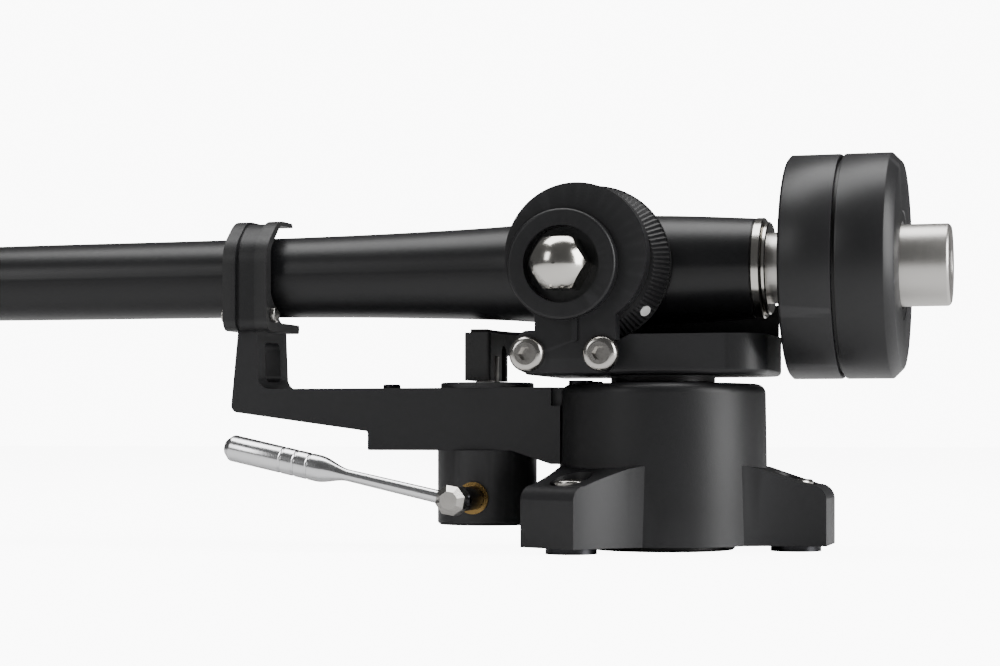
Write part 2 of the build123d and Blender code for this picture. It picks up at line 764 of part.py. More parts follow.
with BuildPart() as counterweight_rear:
    with BuildSketch(Plane.YZ.offset(weight_split + weight_groove / 2)):
        with Locations((0, arm_height)):
            Circle(weight_r)
            Circle(weight_bore_r, mode=Mode.SUBTRACT)
    extrude(amount=weight_rear - weight_split - weight_groove / 2)
    chamfer(counterweight_rear.faces().sort_by(Axis.X)[-1].outer_wire().edges(), weight_chamfer)
    # spigot that joins the two discs across the groove
    with BuildSketch(Plane.YZ.offset(weight_split - weight_groove / 2)):
        with Locations((0, arm_height)):
            Circle(weight_r - 0.9)
            Circle(weight_bore_r, mode=Mode.SUBTRACT)
    extrude(amount=weight_groove)
    # groove for the friction ring, and the notch at the mouth of the bore
    with BuildSketch(Plane.YZ.offset(weight_rear - 4.4)):
        with Locations((0, arm_height)):
            Circle(weight_bore_r + 1.0)
    extrude(amount=1.6, mode=Mode.SUBTRACT)
    with BuildSketch(Plane.YZ.offset(weight_rear)):
        with Locations((0, arm_height - weight_bore_r - 0.6)):
            Rectangle(1.8, 2.0)
    extrude(amount=-1.4, mode=Mode.SUBTRACT)
save(counterweight_rear, "counterweight_rear")

with BuildPart() as friction_ring:
    with BuildSketch(Plane.YZ.offset(weight_rear - 4.3)):
        with Locations((0, arm_height)):
            Circle(weight_bore_r + 1.0)
            Circle(weight_bore_r, mode=Mode.SUBTRACT)
    extrude(amount=1.4)
save(friction_ring, "friction_ring")

# ---- rest bracket: post, platform and tongue in one piece ----
saddle_end = -hub_r + 2.5
with BuildPart() as rest_bracket:
    with BuildSketch(Plane.XZ):
        with BuildLine():
            FilletPolyline(
                (post_left, clip_base + 0.8), (post_left + post_thickness, clip_base + 0.8),
                (post_left + post_thickness + 0.4, bracket_top), (tongue_end, bracket_top),
                (tongue_end, tongue_bottom), (saddle_end, tongue_bottom),
                (saddle_end, bracket_top - saddle_drop), (-17.0, bracket_top - saddle_drop),
                (-23.5, bracket_bottom),
                (bracket_step_x, bracket_bottom), (bracket_step_x, bracket_top - step_drop),
                (post_left - 1.4, bracket_top - post_foot_drop),
                radius=(0.3, 0.3, 2.0, 0.1, 0.1, 0.05, 0.1, 0.3, 0.4, 0.3, 0.4, 1.2), close=True,
            )
        make_face()
    extrude(amount=bracket_half_width, both=True)
    # saddle against the hub
    with BuildSketch(Plane.XY.offset(foot_gap)):
        Circle(hub_bottom_r + 0.02)
    extrude(amount=tongue_bottom - foot_gap, mode=Mode.SUBTRACT)
    with BuildSketch(Plane.XY.offset(tongue_bottom)):
        with Locations((tongue_end, tongue_width / 2 + 2), (tongue_end, -tongue_width / 2 - 2)):
            Rectangle(2 * (hub_r + tongue_end + 0.4), 4.0)
    extrude(amount=10, mode=Mode.SUBTRACT)
    # slot through the post, bore for the lift
    with BuildSketch(Plane.YZ.offset(post_left - 3)):
        with Locations((0, (bracket_top + clip_base) / 2 - 0.2)):
            RectangleRounded(post_slot_width, clip_base - bracket_top - 2.9, 1.2)
    extrude(amount=8, mode=Mode.SUBTRACT)
    with BuildSketch(Plane.XY.offset(bracket_bottom - 1)):
        with Locations((lift_x, 0)):
            Circle(lift_neck_r)
    extrude(amount=20, mode=Mode.SUBTRACT)
    with BuildSketch(Plane.XY.offset(foot_gap)):
        with Locations((lift_x, 0)):
            Circle(lift_body_r + slip_gap)
    extrude(amount=bracket_bottom - foot_gap, mode=Mode.SUBTRACT)
    with BuildSketch(Plane.XY.offset(bracket_top)):
        with Locations((tongue_end - 3.4, 3.4), (tongue_end - 3.4, -3.4), (bracket_screw_x, 0)):
            Circle(1.25)
    extrude(amount=-6, mode=Mode.SUBTRACT)
save(rest_bracket, "rest_bracket")

with BuildPart() as bracket_screws:
    with BuildSketch(Plane.XY.offset(bracket_top)):
        with Locations((tongue_end - 3.4, 3.4), (tongue_end - 3.4, -3.4)):
            Circle(2.0)
    extrude(amount=1.1)
    with BuildSketch(Plane.XY.offset(bracket_top)):
        with Locations((tongue_end - 3.4, 3.4), (tongue_end - 3.4, -3.4)):
            Circle(1.25)
    extrude(amount=tongue_bottom - bracket_top + 0.2)
    with BuildSketch(Plane.XY.offset(bracket_top + 1.1)):
        with Locations((tongue_end - 3.4, 3.4), (tongue_end - 3.4, -3.4)):
            RegularPolygon(0.75, 6, major_radius=False)
    extrude(amount=-0.7, mode=Mode.SUBTRACT)
save(bracket_screws, "bracket_screws")

with BuildPart() as platform_screw:
    with BuildSketch(Plane.XY.offset(bracket_top)):
        with Locations((bracket_screw_x, 0)):
            Circle(1.45)
    extrude(amount=0.75)
    fillet(platform_screw.faces().sort_by(Axis.Z)[-1].edges(), 0.3)
    with BuildSketch(Plane.XY.offset(bracket_top)):
        with Locations((bracket_screw_x, 0)):
            Circle(1.25)
    extrude(amount=-4.5)
save(platform_screw, "platform_screw")

# ---- clip: two flanges with a recessed band, closed on the outer side ----
clip_cavity_r = tube_radius(clip_left) + clip_gap
clip_rise = (tilt_x - clip_left) * tan(radians(tilt_range))
clip_ceiling = arm_height + clip_cavity_r + clip_rise - 0.4
clip_corner = 3.2
clip_flange = 2.2


clip_bands = (
    (clip_left, clip_flange, clip_wall + 0.7, clip_top),
    (clip_left + clip_flange, clip_right - clip_left - 2 * clip_flange, clip_wall, clip_top - 0.4),
    (clip_right - clip_flange, clip_flange, clip_wall + 0.7, clip_top),
)
with BuildPart() as arm_clip:
    for band_start, band_width, back_wall, band_top in clip_bands:
        with BuildSketch(Plane.YZ.offset(band_start)):
            with BuildLine():
                FilletPolyline(
                    (-clip_cavity_r - back_wall, clip_base), (5.6, clip_base),
                    (5.6, arm_height - clip_cavity_r), (-clip_corner, arm_height - clip_cavity_r),
                    (-clip_cavity_r, arm_height - clip_corner),
                    (-clip_cavity_r, arm_height + clip_corner + clip_rise),
                    (-clip_corner, clip_ceiling), (2.6, clip_ceiling), (2.2, band_top),
                    (-4.2, band_top), (-clip_cavity_r - back_wall, arm_height + 4.6),
                    radius=(2.0, 0.6, 0.3, 2.0, 2.0, 2.0, 2.0, 0.15, 0.2, 6.0, 6.0), close=True,
                )
            make_face()
        extrude(amount=band_width)
    # seat on the head of the post, and the hole for the clamp screw
    with BuildSketch(Plane.XY.offset(clip_base)):
        with Locations((post_left + post_thickness / 2, 0)):
            Rectangle(post_thickness + 0.4, 2 * bracket_half_width)
    extrude(amount=0.8, mode=Mode.SUBTRACT)
    with BuildSketch(Plane.YZ.offset(clip_left - 1)):
        with Locations((clip_screw_y, clip_base + clip_screw_rise)):
            Circle(0.8)
    extrude(amount=12, mode=Mode.SUBTRACT)
save(arm_clip, "arm_clip")

with BuildPart() as clip_screw:
    with BuildSketch(Plane.YZ.offset(clip_left - 0.9)):
        with Locations((clip_screw_y, clip_base + clip_screw_rise)):
            Circle(1.3)
    extrude(amount=0.9)
    with BuildSketch(Plane.YZ.offset(clip_left)):
        with Locations((clip_screw_y, clip_base + clip_screw_rise)):
            Circle(0.8)
    extrude(amount=clip_right - clip_left)
    with BuildSketch(Plane.YZ.offset(clip_right)):
        with Locations((clip_screw_y, clip_base + clip_screw_rise)):
            Circle(1.3)
    extrude(amount=0.9)
    fillet(clip_screw.faces().filter_by(Axis.X).edges().group_by(SortBy.LENGTH)[-1], 0.25)
save(clip_screw, "clip_screw")

# ---- arm lift ----
with BuildPart() as lift_cylinder:
    with BuildSketch(Plane.XY.offset(lift_body_bottom)):
        with Locations((lift_x, 0)):
            Circle(lift_body_r)
    extrude(amount=bracket_bottom - lift_body_bottom)
    chamfer(lift_cylinder.faces().sort_by(Axis.Z)[0].edges(), 0.4)
    with BuildSketch(Plane.XY.offset(bracket_bottom)):
        with Locations((lift_x, 0)):
            Circle(lift_neck_r)
    extrude(amount=bracket_top - bracket_bottom)
    with BuildSketch(Plane.XY.offset(lift_chamber_bottom)):
        with Locations((lift_x, 0)):
            Circle(lift_chamber_r)
    extrude(amount=lift_chamber_top - lift_chamber_bottom, mode=Mode.SUBTRACT)
    with BuildSketch(Plane.XY.offset(lift_chamber_top)):
        with Locations((lift_x, 0)):
            Circle(plunger_r + running_gap)
    extrude(amount=8, mode=Mode.SUBTRACT)
    with BuildSketch(Plane.XZ):
        with Locations((lift_x, lever_z)):
            Circle(bush_r)
    extrude(amount=lift_body_r + 1, mode=Mode.SUBTRACT)
save(lift_cylinder, "lift_cylinder")

with BuildPart() as lift_flange:
    with BuildSketch(Plane.XY.offset(bracket_top)):
        with Locations((lift_x, 0)):
            Circle(flange_r)
            Circle(plunger_r + running_gap, mode=Mode.SUBTRACT)
    extrude(amount=flange_height)
    chamfer(lift_flange.faces().sort_by(Axis.Z)[-1].outer_wire().edges(), 0.2)
save(lift_flange, "lift_flange")

bridge_base = bracket_top + flange_height + 0.35
with BuildPart() as lift_plunger:
    with BuildSketch(Plane.XY.offset(piston_bottom)):
        with Locations((lift_x, 0)):
            Circle(lift_chamber_r - running_gap)
    extrude(amount=piston_height)
    with BuildSketch(Plane.XY.offset(piston_bottom + piston_height)):
        with Locations((lift_x, 0)):
            Circle(plunger_r)
    extrude(amount=bridge_base + 4 - piston_bottom - piston_height)
save(lift_plunger, "lift_plunger")

with BuildPart() as lift_spring:
    spring_turns_lift = 5
    spring_height = lift_chamber_top - piston_bottom - piston_height
    with BuildLine(mode=Mode.PRIVATE) as spring_path:
        Helix(
            pitch=(spring_height - 1.0) / spring_turns_lift, height=spring_height - 1.0, radius=3.3,
            center=(lift_x, 0, piston_bottom + piston_height + 0.5),
        )
    with BuildSketch(Plane(origin=spring_path.line @ 0, z_dir=spring_path.line % 0)):
        Circle(0.35)
    sweep(path=spring_path.line)
save(lift_spring, "lift_spring")

block_inner_x = -(bridge_inner_r - 0.5)
with BuildPart() as lift_bridge:
    with BuildSketch(Plane.XY.offset(bridge_base)):
        with Locations((block_inner_x - bridge_width / 2, 1.6)):
            RectangleRounded(bridge_width, 11.6, 0.6)
    extrude(amount=bridge_top - bridge_base)
    # curved bar that follows the swing of the arm
    with BuildSketch(Plane.XY.offset(bridge_top - 3.4)):
        with BuildLine():
            CenterArc((0, 0), bridge_inner_r, 180 - bridge_sweep, bridge_sweep - 4)
            CenterArc((0, 0), bridge_inner_r + bridge_width - 0.6, 180 - bridge_sweep, bridge_sweep - 4)
            Line(
                polar(bridge_inner_r, 180 - bridge_sweep),
                polar(bridge_inner_r + bridge_width - 0.6, 180 - bridge_sweep),
            )
            Line(polar(bridge_inner_r, 176), polar(bridge_inner_r + bridge_width - 0.6, 176))
        make_face()
    extrude(amount=3.4)
    # slot through the block and the plunger's hole
    with BuildSketch(Plane.YZ.offset(block_inner_x - bridge_width - 1)):
        with Locations((4.4, (bridge_base + bridge_top) / 2 - 1.4)):
            SlotOverall(bridge_top - bridge_base - 1.0, 2.6, rotation=90)
    extrude(amount=bridge_width + 2, mode=Mode.SUBTRACT)
    with BuildSketch(Plane.XY.offset(bridge_base)):
        with Locations((lift_x, 0)):
            Circle(plunger_r)
    extrude(amount=4, mode=Mode.SUBTRACT)
save(lift_bridge, "lift_bridge")

with BuildPart() as bridge_pad_strip:
    with BuildSketch(Plane.XY.offset(bridge_top)):
        with BuildLine():
            pad_inner = bridge_inner_r + 0.5
            pad_outer = bridge_inner_r + bridge_width - 1.1
            CenterArc((0, 0), pad_inner, 181 - bridge_sweep, bridge_sweep + 4)
            CenterArc((0, 0), pad_outer, 181 - bridge_sweep, bridge_sweep + 4)
            Line(polar(pad_inner, 181 - bridge_sweep), polar(pad_outer, 181 - bridge_sweep))
            Line(polar(pad_inner, 185), polar(pad_outer, 185))
        make_face()
    extrude(amount=bridge_pad)
save(bridge_pad_strip, "bridge_pad")

with BuildPart() as lever_bush:
    with BuildSketch(Plane.XZ.offset(4.9)):
        with Locations((lift_x, lever_z)):
            Circle(bush_r)
    extrude(amount=lift_body_r - 4.9 + 0.2)
    with BuildSketch(Plane.XZ.offset(lift_body_r + 0.2)):
        with Locations((lift_x, lever_z)):
            Circle(2.6)
    extrude(amount=0.5)
    with BuildSketch(Plane.XZ.offset(4.9)):
        with Locations((lift_x, lever_z)):
            Circle(lever_shaft_r + running_gap)
    extrude(amount=10, mode=Mode.SUBTRACT)
save(lever_bush, "lever_bush")

with BuildPart() as lever_shaft:
    with BuildSketch(Plane.XZ.offset(-2.6)):
        with Locations((lift_x, lever_z)):
            Circle(lever_shaft_r)
    extrude(amount=2.6 - lever_boss_y + 1.6)
    with BuildSketch(Plane.XZ.offset(lift_body_r + 1.0)):
        with Locations((lift_x, lever_z)):
            Circle(1.9)
    extrude(amount=-lever_boss_y - lever_boss_length / 2 - lift_body_r - 1.0)
save(lever_shaft, "lever_shaft")

with BuildPart() as lift_cam:
    with BuildSketch(Plane.XZ.offset(-2.0)):
        lobe = (lift_x - 3.0 * cos(radians(cam_angle)), lever_z + 3.0 * sin(radians(cam_angle)))
        with Locations((lift_x, lever_z)):
            Circle(2.0)
        with Locations(lobe):
            Circle(1.0)
        make_hull()
        with Locations((lift_x, lever_z)):
            Circle(lever_shaft_r, mode=Mode.SUBTRACT)
    extrude(amount=4.0)
save(lift_cam, "lift_cam")

with BuildPart() as lever_boss:
    with BuildSketch(Plane.XZ.offset(-lever_boss_y - lever_boss_length / 2)):
        with Locations((lift_x, lever_z)):
            RegularPolygon(lever_boss_r, 8, major_radius=True, rotation=lever_angle)
    extrude(amount=lever_boss_length)
    chamfer(lever_boss.faces().sort_by(Axis.Y)[0].edges(), 0.9)
    chamfer(lever_boss.faces().sort_by(Axis.Y)[-1].edges(), 0.3)
    with BuildSketch(Plane.XZ.offset(-lever_boss_y - lever_boss_length / 2)):
        with Locations((lift_x, lever_z)):
            Circle(lever_shaft_r)
    extrude(amount=4.0, mode=Mode.SUBTRACT)
    # tapped hole for the grub screw
    with BuildSketch(Plane.YZ.offset(lift_x)):
        with Locations((lever_boss_y + 1.2, lever_z)):
            Circle(0.8)
    extrude(amount=4, mode=Mode.SUBTRACT)
save(lever_boss, "lever_boss")

with BuildPart() as lever_grub_screw:
    with BuildSketch(Plane.YZ.offset(lift_x + lever_shaft_r)):
        with Locations((lever_boss_y + 1.2, lever_z)):
            Circle(0.8)
    extrude(amount=1.6)
    with BuildSketch(Plane.YZ.offset(lift_x + lever_shaft_r + 1.6)):
        with Locations((lever_boss_y + 1.2, lever_z)):
            RegularPolygon(0.45, 6, major_radius=False)
    extrude(amount=-0.7, mode=Mode.SUBTRACT)
save(lever_grub_screw, "lever_grub_screw")

# lever, drawn along +X from the boss and turned to its rest angle
with BuildPart() as cue_lever:
    with BuildSketch(Plane.XZ):
        with BuildLine():
            Polyline((2.0, 0), (2.0, rod_r + 0.1), (22.0, rod_r))
            Bezier((22.0, rod_r), (24.0, rod_r), (24.5, handle_r), (26.8, handle_r))
            Polyline(
                (26.8, handle_r), (28.0, handle_r), (28.1, handle_r - groove_depth),
                (28.4, handle_r - groove_depth),
                (28.5, handle_r), (29.6, handle_r), (29.7, handle_r - groove_depth),
                (30.0, handle_r - groove_depth),
                (30.1, handle_r), (31.3, handle_r), (31.4, handle_r - groove_depth),
                (31.7, handle_r - groove_depth),
                (31.8, handle_r), (lever_length - 1.3, handle_r), (lever_length, 1.1),
                (lever_length, 0), (2.0, 0),
            )
        make_face()
    revolve(axis=Axis.X)
    with BuildSketch(Plane.XY):
        Circle(2.6)
    extrude(amount=3, both=True, mode=Mode.SUBTRACT)
cue_lever.part = Location((lift_x, lever_boss_y, lever_z), (0, 180 + lever_angle, 0)) * cue_lever.part
save(cue_lever, "cue_lever")

print("lift travel", round(lift_travel, 3), "gap", round(lift_gap, 3))
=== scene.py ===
import json
import math

import bmesh
import bpy
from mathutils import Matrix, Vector


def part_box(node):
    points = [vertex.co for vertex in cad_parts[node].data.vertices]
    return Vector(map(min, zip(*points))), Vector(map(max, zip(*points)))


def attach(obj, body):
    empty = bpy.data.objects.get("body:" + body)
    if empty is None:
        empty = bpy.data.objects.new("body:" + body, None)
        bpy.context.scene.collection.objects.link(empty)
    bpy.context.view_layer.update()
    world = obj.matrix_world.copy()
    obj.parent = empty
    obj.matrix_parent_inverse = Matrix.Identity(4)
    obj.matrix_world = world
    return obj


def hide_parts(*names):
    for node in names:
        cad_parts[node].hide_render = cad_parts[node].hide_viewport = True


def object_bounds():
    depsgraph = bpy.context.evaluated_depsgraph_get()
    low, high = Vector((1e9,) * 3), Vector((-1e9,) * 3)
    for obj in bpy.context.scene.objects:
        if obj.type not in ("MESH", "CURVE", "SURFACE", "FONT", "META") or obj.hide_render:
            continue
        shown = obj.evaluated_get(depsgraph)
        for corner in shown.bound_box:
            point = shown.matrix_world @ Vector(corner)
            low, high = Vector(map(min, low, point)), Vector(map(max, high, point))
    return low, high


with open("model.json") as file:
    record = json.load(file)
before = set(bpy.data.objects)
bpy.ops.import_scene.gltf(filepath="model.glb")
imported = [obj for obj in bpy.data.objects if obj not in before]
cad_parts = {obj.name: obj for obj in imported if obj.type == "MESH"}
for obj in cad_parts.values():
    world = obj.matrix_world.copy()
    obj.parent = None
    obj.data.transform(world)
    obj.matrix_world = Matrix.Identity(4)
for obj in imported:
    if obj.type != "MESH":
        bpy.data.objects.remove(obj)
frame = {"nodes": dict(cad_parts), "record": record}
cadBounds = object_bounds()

nodes = frame["nodes"]
mm = 0.001


# helpers for node trees
def link(tree, source, target):
    tree.links.new(source, target)


def feed(tree, value, socket):
    # links another socket, or sets a plain value
    if isinstance(value, bpy.types.NodeSocket):
        link(tree, value, socket)
    else:
        socket.default_value = value


def newGroup(name, inputs, outputs):
    group = bpy.data.node_groups.new(name, "ShaderNodeTree")
    for socketName, kind, value in inputs:
        socket = group.interface.new_socket(name=socketName, in_out="INPUT", socket_type="NodeSocket" + kind)
        socket.default_value = value
    for socketName, kind in outputs:
        group.interface.new_socket(name=socketName, in_out="OUTPUT", socket_type="NodeSocket" + kind)
    return group, group.nodes.new("NodeGroupInput"), group.nodes.new("NodeGroupOutput")


def mathNode(tree, operation, first, second):
    node = tree.nodes.new("ShaderNodeMath")
    node.operation = operation
    feed(tree, first, node.inputs[0])
    feed(tree, second, node.inputs[1])
    return node.outputs[0]


def rangeNode(tree, factor, **limits):
    # maps From Min..From Max to To Min..To Max, each 0..1 unless it is given
    node = tree.nodes.new("ShaderNodeMapRange")
    link(tree, factor, node.inputs["Value"])
    names = {"fromLow": "From Min", "fromHigh": "From Max", "toLow": "To Min", "toHigh": "To Max"}
    for limit, value in limits.items():
        feed(tree, value, node.inputs[names[limit]])
    return node.outputs[0]


def noiseNode(tree, place, scale, detail, roughness=0.5):
    node = tree.nodes.new("ShaderNodeTexNoise")
    link(tree, place, node.inputs["Vector"])
    feed(tree, scale, node.inputs["Scale"])
    node.inputs["Detail"].default_value = detail
    node.inputs["Roughness"].default_value = roughness
    return node.outputs["Fac"]


def colorMix(tree, factor, first, second):
    node = tree.nodes.new("ShaderNodeMix")
    node.data_type = "RGBA"
    link(tree, factor, node.inputs["Factor"])
    feed(tree, first, node.inputs["A"])
    feed(tree, second, node.inputs["B"])
    return node.outputs["Result"]


def objectPlace(tree):
    return tree.nodes.new("ShaderNodeTexCoord").outputs["Object"]


# the fine texture of a coat or a moulding, with slow changes over the surface
grainSettings = {"fineDetail": 4.0, "fineRoughness": 0.62, "fineShare": 0.45,
                 "cloudScale": 90.0, "cloudDetail": 3.0, "cloudShare": 0.55}


def makeGrainGroup():
    group, given, result = newGroup(
        "surfaceGrain",
        inputs=[("Scale", "Float", 3000.0), ("Rough low", "Float", 0.35), ("Rough high", "Float", 0.5)],
        outputs=[("Height", "Float"), ("Roughness", "Float"), ("Cloud", "Float")])
    place = objectPlace(group)
    fine = noiseNode(group, place, given.outputs["Scale"], grainSettings["fineDetail"],
                     grainSettings["fineRoughness"])
    cloud = noiseNode(group, place, grainSettings["cloudScale"], grainSettings["cloudDetail"])
    mixed = mathNode(group, "ADD", mathNode(group, "MULTIPLY", fine, grainSettings["fineShare"]),
                     mathNode(group, "MULTIPLY", cloud, grainSettings["cloudShare"]))
    rough = rangeNode(group, mixed, toLow=given.outputs["Rough low"], toHigh=given.outputs["Rough high"])
    link(group, fine, result.inputs["Height"])
    link(group, rough, result.inputs["Roughness"])
    link(group, cloud, result.inputs["Cloud"])
    return group


# fine lines left by brushing or turning: long along one direction, close across it
brushSettings = {"scale": 1.0, "detail": 3.0}


def makeBrushGroup():
    group, given, result = newGroup(
        "brushLines",
        inputs=[("Stretch", "Vector", (1.0, 1.0, 1.0)), ("Rough low", "Float", 0.15),
                ("Rough high", "Float", 0.3)],
        outputs=[("Height", "Float"), ("Roughness", "Float")])
    stretched = group.nodes.new("ShaderNodeVectorMath")
    stretched.operation = "MULTIPLY"
    link(group, objectPlace(group), stretched.inputs[0])
    link(group, given.outputs["Stretch"], stretched.inputs[1])
    lines = noiseNode(group, stretched.outputs[0], brushSettings["scale"], brushSettings["detail"])
    rough = rangeNode(group, lines, toLow=given.outputs["Rough low"], toHigh=given.outputs["Rough high"])
    link(group, lines, result.inputs["Height"])
    link(group, rough, result.inputs["Roughness"])
    return group


# brighter, worn edges and a trace of dust on what faces up
wearSettings = {"edgeLow": 0.52, "edgeHigh": 0.6, "speckScale": 700.0, "speckDetail": 5.0,
                "speckLow": 0.52, "speckHigh": 0.72, "dustColor": (0.3, 0.29, 0.27, 1.0)}


def makeWearGroup():
    group, given, result = newGroup(
        "edgeAndDust",
        inputs=[("Base", "Color", (0.02, 0.02, 0.02, 1.0)), ("Edge", "Color", (0.06, 0.06, 0.06, 1.0)),
                ("Edge amount", "Float", 0.5), ("Dust amount", "Float", 0.1)],
        outputs=[("Color", "Color")])
    geometry = group.nodes.new("ShaderNodeNewGeometry")
    edges = rangeNode(group, geometry.outputs["Pointiness"], fromLow=wearSettings["edgeLow"],
                      fromHigh=wearSettings["edgeHigh"])
    edgeMask = mathNode(group, "MULTIPLY", edges, given.outputs["Edge amount"])
    worn = colorMix(group, edgeMask, given.outputs["Base"], given.outputs["Edge"])
    direction = group.nodes.new("ShaderNodeSeparateXYZ")
    link(group, geometry.outputs["Normal"], direction.inputs[0])
    facingUp = mathNode(group, "MAXIMUM", direction.outputs["Z"], 0.0)
    noise = noiseNode(group, objectPlace(group), wearSettings["speckScale"], wearSettings["speckDetail"])
    specks = rangeNode(group, noise, fromLow=wearSettings["speckLow"], fromHigh=wearSettings["speckHigh"])
    dustMask = mathNode(group, "MULTIPLY", mathNode(group, "MULTIPLY", facingUp, specks),
                        given.outputs["Dust amount"])
    link(group, colorMix(group, dustMask, worn, wearSettings["dustColor"]), result.inputs["Color"])
    return group


grainGroup = makeGrainGroup()
brushGroup = makeBrushGroup()
wearGroup = makeWearGroup()
print("shader groups made")

# colours are linear, bump depths in metres
coatSpecular = 0.4
coatLooks = {
    "satinCasting": dict(color=(0.0095, 0.0095, 0.0105), edge=(0.03, 0.03, 0.032), edgeAmount=0.5, dust=0.03,
                         rough=(0.34, 0.5), grainScale=5200.0, bump=0.22, bumpDepth=0.00005),
    "satinArm": dict(color=(0.0085, 0.0085, 0.0095), edge=(0.02, 0.02, 0.021), edgeAmount=0.3, dust=0.025,
                     rough=(0.3, 0.42), grainScale=6500.0, bump=0.12, bumpDepth=0.00004),
    "blackAnodised": dict(color=(0.010, 0.010, 0.011), edge=(0.05, 0.05, 0.052), edgeAmount=0.6, dust=0.02,
                          rough=(0.32, 0.46), grainScale=8000.0, bump=0.15, bumpDepth=0.00003),
    "blackPlastic": dict(color=(0.011, 0.011, 0.012), edge=(0.03, 0.03, 0.03), edgeAmount=0.5, dust=0.04,
                         rough=(0.34, 0.52), grainScale=4200.0, bump=0.3, bumpDepth=0.00006),
    "blackRubber": dict(color=(0.014, 0.014, 0.014), edge=(0.03, 0.03, 0.03), edgeAmount=0.3, dust=0.12,
                        rough=(0.6, 0.85), grainScale=3600.0, bump=0.4, bumpDepth=0.00008),
    "whiteMark": dict(color=(0.8, 0.8, 0.78), edge=(0.9, 0.9, 0.88), edgeAmount=0.2, dust=0.0,
                      rough=(0.4, 0.6), grainScale=5000.0, bump=0.2, bumpDepth=0.00004),
}
# stretch: grains to the metre along X, Y and Z; fade: how bright the duller patches stay
metalLooks = {
    "turnedStainless": dict(color=(0.60, 0.585, 0.56), fade=0.88, rough=(0.26, 0.42),
                            stretch=(9000.0, 260.0, 260.0), bump=0.12, bumpDepth=0.00003),
    "polishedSteel": dict(color=(0.66, 0.64, 0.60), fade=0.94, rough=(0.13, 0.22),
                          stretch=(900.0, 2600.0, 900.0), bump=0.05, bumpDepth=0.00002),
    "screwSteel": dict(color=(0.58, 0.56, 0.53), fade=0.88, rough=(0.15, 0.26),
                       stretch=(1600.0, 600.0, 1600.0), bump=0.03, bumpDepth=0.00002),
    "polishedAluminium": dict(color=(0.83, 0.83, 0.84), fade=0.93, rough=(0.14, 0.28),
                              stretch=(5200.0, 500.0, 1800.0), bump=0.08, bumpDepth=0.00002),
    "darkSteel": dict(color=(0.055, 0.055, 0.06), fade=0.88, rough=(0.25, 0.4),
                      stretch=(2500.0, 2500.0, 600.0), bump=0.1, bumpDepth=0.00003),
    "turnedBrass": dict(color=(0.34, 0.22, 0.08), fade=0.88, rough=(0.2, 0.34),
                        stretch=(600.0, 4500.0, 600.0), bump=0.1, bumpDepth=0.00003),
}


def startMaterial(name):
    material = bpy.data.materials.new(name)
    material.use_nodes = True
    tree = material.node_tree
    return material, tree, tree.nodes["Principled BSDF"]


def placeGroup(tree, group, values):
    node = tree.nodes.new("ShaderNodeGroup")
    node.node_tree = group
    for name, value in values.items():
        node.inputs[name].default_value = value
    return node


def addBump(tree, shader, height, look):
    bump = tree.nodes.new("ShaderNodeBump")
    bump.inputs["Strength"].default_value = look["bump"]
    bump.inputs["Distance"].default_value = look["bumpDepth"]
    link(tree, height, bump.inputs["Height"])
    link(tree, bump.outputs["Normal"], shader.inputs["Normal"])


def coatedMaterial(name, look):
    # painted, anodised or moulded
    material, tree, shader = startMaterial(name)
    grain = placeGroup(tree, grainGroup, {"Scale": look["grainScale"], "Rough low": look["rough"][0],
                                          "Rough high": look["rough"][1]})
    wear = placeGroup(tree, wearGroup, {"Base": (*look["color"], 1.0), "Edge": (*look["edge"], 1.0),
                                        "Edge amount": look["edgeAmount"], "Dust amount": look["dust"]})
    link(tree, wear.outputs["Color"], shader.inputs["Base Color"])
    link(tree, grain.outputs["Roughness"], shader.inputs["Roughness"])
    shader.inputs["Specular IOR Level"].default_value = coatSpecular
    addBump(tree, shader, grain.outputs["Height"], look)
    return material


def metalMaterial(name, look):
    # bare metal with brushed or turned lines
    material, tree, shader = startMaterial(name)
    brush = placeGroup(tree, brushGroup, {"Stretch": look["stretch"], "Rough low": look["rough"][0],
                                          "Rough high": look["rough"][1]})
    grain = placeGroup(tree, grainGroup, {})
    duller = [channel * look["fade"] for channel in look["color"]]
    tint = colorMix(tree, grain.outputs["Cloud"], (*look["color"], 1.0), (*duller, 1.0))
    link(tree, tint, shader.inputs["Base Color"])
    link(tree, brush.outputs["Roughness"], shader.inputs["Roughness"])
    shader.inputs["Metallic"].default_value = 1.0
    addBump(tree, shader, brush.outputs["Height"], look)
    return material


materials = {name: coatedMaterial(name, look) for name, look in coatLooks.items()}
materials.update({name: metalMaterial(name, look) for name, look in metalLooks.items()})
print("materials made", len(materials))

nodeMaterials = {
    "satinCasting": ["base_casting", "yoke", "near_ear", "rest_bracket"],
    "satinArm": ["arm_tube"],
    "blackAnodised": ["base_collar", "lift_cylinder", "lift_flange", "counterweight_front",
                      "counterweight_rear"],
    "blackPlastic": ["arm_clip", "force_dial", "lift_bridge"],
    "blackRubber": ["bridge_pad", "cable_gland", "friction_ring"],
    "whiteMark": ["dial_dot"],
    "turnedStainless": ["stub_shaft", "pivot_spindle", "bearing_spacer", "lift_plunger", "cross_axle"],
    "polishedSteel": ["pivot_nut", "far_nut", "rear_collar",
                      "pan_bearing_outer_races", "pan_bearing_inner_races", "pan_bearing_balls",
                      "tilt_bearing_outer_races", "tilt_bearing_inner_races", "tilt_bearing_balls"],
    "screwSteel": ["ear_screws", "leg_screws", "clip_screw", "lever_boss", "lift_spring", "tracking_spring"],
    "polishedAluminium": ["cue_lever", "finger_lift"],
    "darkSteel": ["leg_inserts", "platform_screw", "bracket_screws", "spindle_circlip", "lever_shaft",
                  "lift_cam", "lever_grub_screw"],
    "turnedBrass": ["lever_bush"],
}
for materialName, names in nodeMaterials.items():
    for name in names:
        dressed = nodes[name].data.materials
        dressed.clear()
        dressed.append(materials[materialName])
print("CAD nodes dressed")


